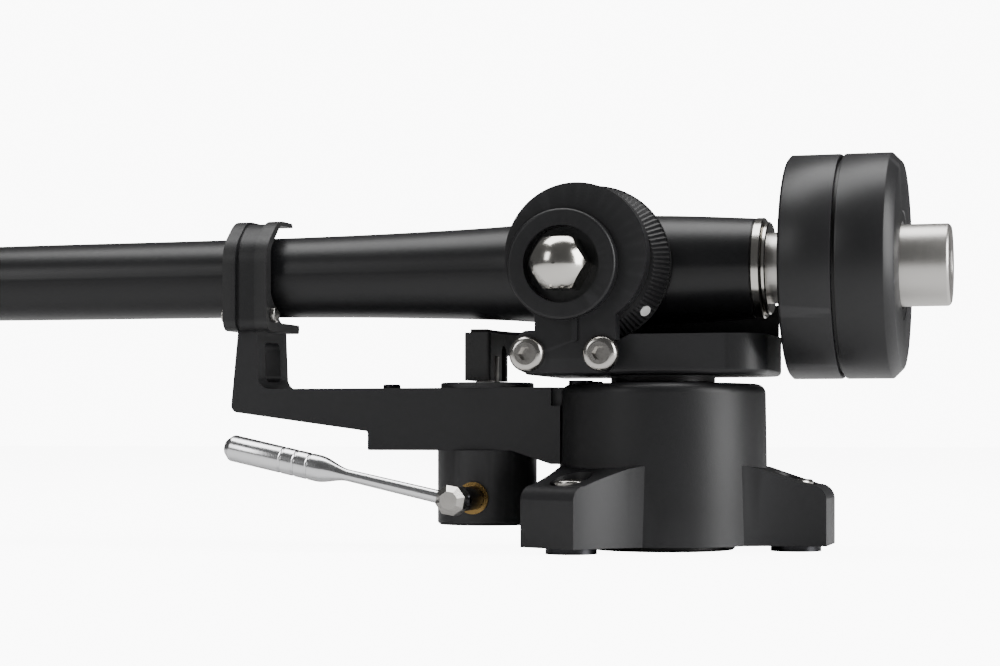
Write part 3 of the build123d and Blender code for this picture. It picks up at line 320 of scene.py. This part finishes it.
# helpers for meshes; outlines and sizes are in mm
def finishMesh(mesh, sharpAbove=38.0, mergeWithin=1e-7):
    # outward normals, smooth faces and sharp edges above an angle in degrees
    work = bmesh.new()
    work.from_mesh(mesh)
    bmesh.ops.remove_doubles(work, verts=work.verts, dist=mergeWithin)
    bmesh.ops.recalc_face_normals(work, faces=work.faces)
    for face in work.faces:
        face.smooth = True
    for edge in work.edges:
        if len(edge.link_faces) == 2 and edge.calc_face_angle(0.0) > math.radians(sharpAbove):
            edge.smooth = False
    work.to_mesh(mesh)
    work.free()


def meshPiece(name, points, faces, material, body, slotName, *replaced):
    mesh = bpy.data.meshes.new(name)
    mesh.from_pydata(points, [], faces)
    mesh.update()
    piece = bpy.data.objects.new(name, mesh)
    bpy.context.collection.objects.link(piece)
    mesh.materials.append(materials[material])
    finishMesh(mesh)
    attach(piece, body)
    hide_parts(*replaced)
    return piece


def turnedPiece(name, profile, origin, axis, material, body, slotName, *replaced, segments=128):
    # profile: (distance along the axis, radius), turned round the axis through origin
    axis = Vector(axis).normalized()
    side = axis.orthogonal().normalized()
    other = axis.cross(side)
    points, faces, rings = [], [], []
    for along, radius in profile:
        centre = Vector(origin) + axis * along * mm
        first = len(points)
        if radius > 0.0:
            for step in range(segments):
                angle = 2 * math.pi * step / segments
                points.append(centre + (side * math.cos(angle) + other * math.sin(angle)) * radius * mm)
        else:
            points.append(centre)
        rings.append(range(first, len(points)))
    pairs = list(zip(rings, rings[1:]))
    if profile[0][1] > 0.0:
        pairs.append((rings[-1], rings[0]))  # a piece with a bore closes on itself
    for near, far in pairs:
        for step in range(segments):
            after = (step + 1) % segments
            quad = [near[step % len(near)], near[after % len(near)],
                    far[after % len(far)], far[step % len(far)]]
            faces.append(list(dict.fromkeys(quad)))  # a quad on the axis becomes a triangle
    return meshPiece(name, points, faces, material, body, slotName, *replaced)


def easedCorner(along, radius, steps, way):
    # steps: (distance in from the end, drop in radius); way is 1 at a front end and -1 at a rear end
    points = [(along + way * inward, radius - drop) for inward, drop in steps]
    return points[::way]


def boxMiddle(name):
    return [(low + high) / 2 for low, high in zip(*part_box(name))]


armAxis = boxMiddle("stub_shaft")[2]
axisOrigin = (0.0, 0.0, armAxis)
rearward = (1, 0, 0)

armSettings = {
    # distance along X and radius
    "profile": [(15.3, 8.0), (6.0, 8.55), (-2.0, 8.85), (-12.6, 8.75), (-27.0, 7.7), (-44.7, 7.08),
                (-62.5, 6.75), (-81.0, 6.63), (-119.0, 6.5), (-160.0, 6.0), (-180.0, 5.76)],
    # distance past the last one, half width, half height, height above the axis, squareness
    "shell": [(4.0, 5.85, 5.5, 0.0, 2.1), (8.0, 6.3, 4.8, 0.05, 2.3), (12.0, 7.0, 3.9, 0.2, 2.7),
              (17.0, 8.0, 2.8, 0.4, 3.2), (23.0, 8.9, 2.05, 0.5, 4.2), (30.0, 9.35, 1.75, 0.5, 5.0),
              (42.0, 9.45, 1.68, 0.5, 5.0), (46.0, 9.2, 1.62, 0.5, 4.6), (48.0, 8.2, 1.4, 0.5, 4.0),
              (48.9, 6.6, 0.9, 0.5, 3.2)],
    "bendStart": 7.0, "bendEnd": 15.0, "bendStep": 0.25, "offsetAngle": 23.9,
    "roundSquareness": 2.0,
    "stepsRound": 112, "stepsBetween": 7,
    "partingHeight": 0.035, "partingWidth": 0.045,
    "rearCorner": [(0.0, 0.5), (0.02, 0.2), (0.2, 0.02)], "rearClear": 0.4,
    # how long the cutters are, and the radius of the cross hole
    "cartridgeCut": 20.0, "axleCut": 30.0, "axleHole": 5.0,
    "cutterSides": 48,
}


def smoothSeries(rows, between):
    # Catmull-Rom through rows of numbers
    result = []
    for index in range(len(rows) - 1):
        before = rows[max(index - 1, 0)]
        after = rows[min(index + 2, len(rows) - 1)]
        for step in range(between):
            part = step / between
            result.append([
                0.5 * (2 * here + (ahead - behind) * part
                       + (2 * behind - 5 * here + 4 * ahead - beyond) * part * part
                       + (3 * here - behind - 3 * ahead + beyond) * part ** 3)
                for behind, here, ahead, beyond in zip(before, rows[index], rows[index + 1], after)
            ])
    result.append(list(rows[-1]))
    return result


def armSections():
    rear, rearRadius = armSettings["profile"][0]
    tail = armSettings["profile"][-1][0]
    circle = armSettings["roundSquareness"]
    rows = [(along, radius, radius, 0.0, circle) for along, radius in armSettings["profile"]]
    rows += [(tail - past, halfWidth, halfHeight, rise, squareness)
             for past, halfWidth, halfHeight, rise, squareness in armSettings["shell"]]
    rows = smoothSeries(rows, armSettings["stepsBetween"])
    rounded = [(rear - inward, rearRadius - drop, rearRadius - drop, 0.0, circle)
               for inward, drop in armSettings["rearCorner"]]
    return rounded + [row for row in rows if row[0] < rear - armSettings["rearClear"]]


def armPath(along):
    # centre and heading of the section at this distance along the straight arm
    tail = armSettings["profile"][-1][0]
    bendStart, bendEnd = armSettings["bendStart"], armSettings["bendEnd"]
    offset = math.radians(armSettings["offsetAngle"])
    past = tail - along
    centreX, centreY, heading = along, 0.0, 0.0
    if past > bendStart:
        centreX, done = tail - bendStart, bendStart
        while done < past:
            step = min(armSettings["bendStep"], past - done)
            heading = offset * min(1.0, (done - bendStart) / (bendEnd - bendStart))
            centreX -= math.cos(heading) * step
            centreY += math.sin(heading) * step
            done += step
    return Vector((centreX, centreY, 0.0)), heading


def makeArm():
    count = armSettings["stepsRound"]
    points, faces = [], []
    rows = armSections()
    for along, halfWidth, halfHeight, rise, squareness in rows:
        centre, heading = armPath(along)
        across = Vector((math.sin(heading), math.cos(heading), 0.0))
        for step in range(count):
            angle = 2 * math.pi * step / count
            cosine, sine = math.cos(angle), math.sin(angle)
            ridge = armSettings["partingHeight"] * math.exp(-(sine / armSettings["partingWidth"]) ** 2)
            sideways = math.copysign(abs(cosine) ** (2 / squareness), cosine) * (halfWidth + ridge)
            upward = math.copysign(abs(sine) ** (2 / squareness), sine) * halfHeight
            points.append((centre + across * sideways) * mm + Vector((0, 0, armAxis + (upward + rise) * mm)))
    for start in range(0, (len(rows) - 1) * count, count):
        for step in range(count):
            after = (step + 1) % count
            faces.append([start + step, start + after, start + count + after, start + count + step])
    faces.append(list(range(count)))
    faces.append(list(range((len(rows) - 1) * count, len(rows) * count))[::-1])
    return meshPiece("armTubeAndHeadshell", points, faces, "satinArm", "arm", "satin_black_arm", "arm_tube")


def cutWith(piece, cutters):
    for cutter in cutters:
        boolean = piece.modifiers.new("cut", "BOOLEAN")
        boolean.object = cutter
        boolean.operation = "DIFFERENCE"
        boolean.solver = "EXACT"
    depsgraph = bpy.context.evaluated_depsgraph_get()
    mesh = bpy.data.meshes.new_from_object(piece.evaluated_get(depsgraph))
    piece.modifiers.clear()
    piece.data = mesh
    for cutter in cutters:
        bpy.data.objects.remove(cutter)
    finishMesh(mesh)


def makeCutter(centre, radius, depth, tilt=0.0):
    bpy.ops.mesh.primitive_cylinder_add(vertices=armSettings["cutterSides"], radius=radius * mm,
                                        depth=depth * mm, location=centre, rotation=(tilt, 0.0, 0.0))
    bpy.context.view_layer.update()
    return bpy.context.object


def armCutters():
    # two cartridge screw holes across the headshell, and the cross hole for the bearings
    holes = next(mount for mount in frame["record"]["mounts"] if mount["name"] == "cartridge_holes")
    offset = math.radians(armSettings["offsetAngle"])
    toHole = Vector((math.sin(offset), math.cos(offset), 0.0)) * holes["dims"]["pcd_mm"] / 2 * mm
    cutters = [makeCutter(Vector(holes["pos_m"]) + toHole * way, holes["dims"]["hole_r_mm"],
                          armSettings["cartridgeCut"]) for way in (-1, 1)]
    cutters.append(makeCutter(boxMiddle("tilt_bearing_outer_races"), armSettings["axleHole"],
                              armSettings["axleCut"], math.radians(90)))
    return cutters


cutWith(makeArm(), armCutters())
print("arm made")

# two discs that meet in a groove; distances are behind the bearing axis
weightSettings = {
    "outer": 17.75, "bore": 6.5, "front": 20.9, "split": 29.3, "rear": 38.4,
    "groove": 0.5, "grooveDepth": 0.9,
    "frontCorner": [(0.0, 0.65), (0.02, 0.45), (0.37, 0.06), (0.45, 0.0)],
    "splitCorner": [(0.0, 0.3), (0.08, 0.08), (0.3, 0.0)],
    "rearCorner": [(0.0, 1.6), (0.08, 1.44), (1.44, 0.08), (1.6, 0.0)],
    "faceStep": 0.12, "faceWidth": 2.1, "faceDraft": 0.1, "boreChamfer": 0.4,
    "segments": 192,
}


def makeWeight():
    size = weightSettings
    bore, outer, rear = size["bore"], size["outer"], size["rear"]
    frontEnd, rearStart = size["split"] - size["groove"] / 2, size["split"] + size["groove"] / 2
    grooveFloor = outer - size["grooveDepth"]
    face = rear - size["faceStep"]
    frontDisc = [(size["front"], bore)]
    frontDisc += easedCorner(size["front"], outer, size["frontCorner"], 1)
    frontDisc += easedCorner(frontEnd, outer, size["splitCorner"], -1)
    frontDisc += [(frontEnd, bore)]
    turnedPiece("weightFrontDisc", frontDisc, axisOrigin, rearward, "blackAnodised", "counterweight",
                "black_steel", "counterweight_front", segments=size["segments"])
    rearDisc = [(frontEnd, bore), (frontEnd, grooveFloor), (rearStart, grooveFloor)]
    rearDisc += easedCorner(rearStart, outer, size["splitCorner"], 1)
    rearDisc += easedCorner(rear, outer, size["rearCorner"], -1)
    rearDisc += [(rear, bore + size["faceWidth"]), (face, bore + size["faceWidth"] - size["faceDraft"]),
                 (face, bore + size["boreChamfer"]), (face - size["boreChamfer"], bore)]
    turnedPiece("weightRearDisc", rearDisc, axisOrigin, rearward, "blackAnodised", "counterweight",
                "black_steel", "counterweight_rear", segments=size["segments"])


stubSettings = {
    "start": 1.8, "neck": 5.65, "step": 20.7, "radius": 6.45, "end": 45.8,
    "neckFillet": 0.25,
    "stepCorner": [(0.0, 0.2), (0.2, 0.0)],
    "endCorner": [(0.0, 0.5), (0.08, 0.32), (0.3, 0.1), (0.5, 0.0)],
    "centreMark": [(0.0, 2.2), (0.25, 1.9), (0.7, 0.0)],  # depth and radius
}


def makeStub():
    size = stubSettings
    start, step, end = size["start"], size["step"], size["end"]
    neck, fillet = size["neck"], size["neckFillet"]
    profile = [(start, 0.0), (start, neck), (step - fillet, neck), (step, neck + fillet)]
    profile += easedCorner(step, size["radius"], size["stepCorner"], 1)
    profile += easedCorner(end, size["radius"], size["endCorner"], -1)
    profile += [(end - depth, radius) for depth, radius in size["centreMark"]]
    turnedPiece("stubShaft", profile, axisOrigin, rearward, "turnedStainless", "arm", "stainless",
                "stub_shaft")


# a wide ring and a narrower one behind it
collarSettings = {
    "start": 15.3, "step": 1.5, "end": 2.3, "bore": 5.65, "outer": 8.05, "small": 7.4,
    "corner": [(0.0, 0.2), (0.2, 0.0)], "shoulder": [(0.03, 0.25), (0.2, 0.0)],
}


def makeCollar():
    size = collarSettings
    start = size["start"]
    step, end = start + size["step"], start + size["end"]
    profile = [(start, size["bore"])]
    profile += easedCorner(start, size["outer"], size["corner"], 1)
    profile += easedCorner(step, size["outer"], size["corner"], -1)
    profile += easedCorner(step, size["small"], size["shoulder"], 1)
    profile += easedCorner(end, size["small"], size["corner"], -1)
    profile += [(end, size["bore"])]
    turnedPiece("rearCollarRings", profile, axisOrigin, rearward, "polishedSteel", "arm", "polished_steel",
                "rear_collar")


makeWeight()
makeStub()
makeCollar()
print("turned parts made")

# a thin rod that swells into a grooved handle; distances run out from the boss
leverSettings = {
    "angle": 12.4, "start": 2.0, "length": 38.9, "rod": 0.95, "handle": 2.15,
    "rootSwell": 0.12, "swellEnd": 8.0, "swellLeft": 0.08,
    "taperStart": 17.6, "taperLength": 5.2, "taperSteps": 12,
    "grooves": (24.3, 26.6, 28.9), "grooveDepth": 0.17, "grooveHalf": 0.26,
    # place across a groove and share of its depth
    "grooveShape": [(-1.0, 0.0), (-0.55, 0.8), (0.0, 1.0), (0.55, 0.8), (1.0, 0.0)],
    "tipCorner": [(0.0, 1.1), (0.12, 0.9), (0.95, 0.12), (1.25, 0.0)],
    "segments": 96,
}


def makeCueLever():
    size = leverSettings
    rod, handle, start, taperStart = size["rod"], size["handle"], size["start"], size["taperStart"]
    angle = math.radians(size["angle"])
    profile = [(start, 0.0), (start, rod + size["rootSwell"]), (size["swellEnd"], rod + size["swellLeft"]),
               (taperStart, rod)]
    for step in range(1, size["taperSteps"] + 1):
        part = step / size["taperSteps"]
        ease = part * part * (3 - 2 * part)
        profile.append((taperStart + size["taperLength"] * part, rod + (handle - rod) * ease))
    for groove in size["grooves"]:
        profile += [(groove + size["grooveHalf"] * across, handle - size["grooveDepth"] * share)
                    for across, share in size["grooveShape"]]
    profile += easedCorner(size["length"], handle, size["tipCorner"], -1)
    profile += [(size["length"], 0.0)]
    turnedPiece("cueLeverTurned", profile, boxMiddle("lever_boss"), (-math.cos(angle), 0.0, math.sin(angle)),
                "polishedAluminium", "lever", "polished_aluminium", "cue_lever", segments=size["segments"])


makeCueLever()
print("cue lever made")

# the shine and the backdrop are what the camera sees; the room's light is what the object gets
stageSettings = {"floorSize": 6.0, "floorColor": (0.8, 0.8, 0.8), "floorRoughness": 0.9, "floorShine": 9.0,
                 "backdrop": 10.0, "roomLight": 0.09}
white = (1.0, 1.0, 1.0, 1.0)


def makeFloor():
    bpy.ops.mesh.primitive_grid_add(x_subdivisions=4, y_subdivisions=4, size=stageSettings["floorSize"],
                                    location=(0, 0, cadBounds[0][2]))
    floor = bpy.context.object
    floor.name = "studioFloor"
    material, tree, shader = startMaterial("studioFloor")
    shader.inputs["Base Color"].default_value = (*stageSettings["floorColor"], 1.0)
    shader.inputs["Roughness"].default_value = stageSettings["floorRoughness"]
    shader.inputs["Emission Color"].default_value = white
    lightPath = tree.nodes.new("ShaderNodeLightPath")
    shine = mathNode(tree, "MULTIPLY", lightPath.outputs["Is Camera Ray"], stageSettings["floorShine"])
    link(tree, shine, shader.inputs["Emission Strength"])
    floor.data.materials.append(material)


def makeWorld():
    world = bpy.data.worlds.new("studioWorld")
    bpy.context.scene.world = world
    world.use_nodes = True
    tree = world.node_tree
    background = tree.nodes["Background"]
    background.inputs["Color"].default_value = white
    lightPath = tree.nodes.new("ShaderNodeLightPath")
    strength = rangeNode(tree, lightPath.outputs["Is Camera Ray"], toLow=stageSettings["roomLight"],
                         toHigh=stageSettings["backdrop"])
    link(tree, strength, background.inputs["Strength"])


lampSettings = {
    "rightSoftbox": dict(place=(0.85, -0.12, 0.3), aim=(0, 0, 0.03), width=0.55, height=0.8, power=13.0),
    "overheadSoftbox": dict(place=(-0.1, 0.1, 0.85), aim=(-0.05, 0, 0.03), width=1.0, height=0.5, power=9.0),
    "frontSoftbox": dict(place=(-0.7, -0.9, 0.5), aim=(-0.05, 0, 0.03), width=0.3, height=0.5, power=2.2),
}


def makeLamp(name, setup):
    lamp = bpy.data.lights.new(name, "AREA")
    lamp.shape = "RECTANGLE"
    lamp.size = setup["width"]
    lamp.size_y = setup["height"]
    lamp.energy = setup["power"]
    holder = bpy.data.objects.new(name, lamp)
    holder.location = setup["place"]
    beam = Vector(setup["aim"]) - Vector(setup["place"])
    holder.rotation_euler = beam.to_track_quat("-Z", "Y").to_euler()
    bpy.context.collection.objects.link(holder)


cameraSettings = {
    "azimuth": 15.5,         # degrees round from straight across the arm
    "distance": 0.3556,      # from the pivot axis, along the view
    "sideways": 0.02635,     # the camera stands this far to the left of the axis
    "height": 0.0184,
    "lens": 79.2,
    "sensor": 36.0,
    "shift": 0.102,
    "clipStart": 0.01,
}


def makeCamera():
    turn = math.radians(cameraSettings["azimuth"])
    away = Vector((math.sin(turn), -math.cos(turn), 0.0))
    rightward = Vector((math.cos(turn), math.sin(turn), 0.0))
    data = bpy.data.cameras.new("studioCamera")
    data.lens = cameraSettings["lens"]
    data.sensor_width = cameraSettings["sensor"]
    data.shift_y = cameraSettings["shift"]
    data.clip_start = cameraSettings["clipStart"]
    camera = bpy.data.objects.new("studioCamera", data)
    camera.location = away * cameraSettings["distance"] - rightward * cameraSettings["sideways"]
    camera.location.z = cameraSettings["height"]
    camera.rotation_euler = (math.radians(90.0), 0.0, turn)
    bpy.context.collection.objects.link(camera)
    bpy.context.scene.camera = camera


makeFloor()
makeWorld()
for lampName, lampSetup in lampSettings.items():
    makeLamp(lampName, lampSetup)
makeCamera()
print("stage, lights and camera set")
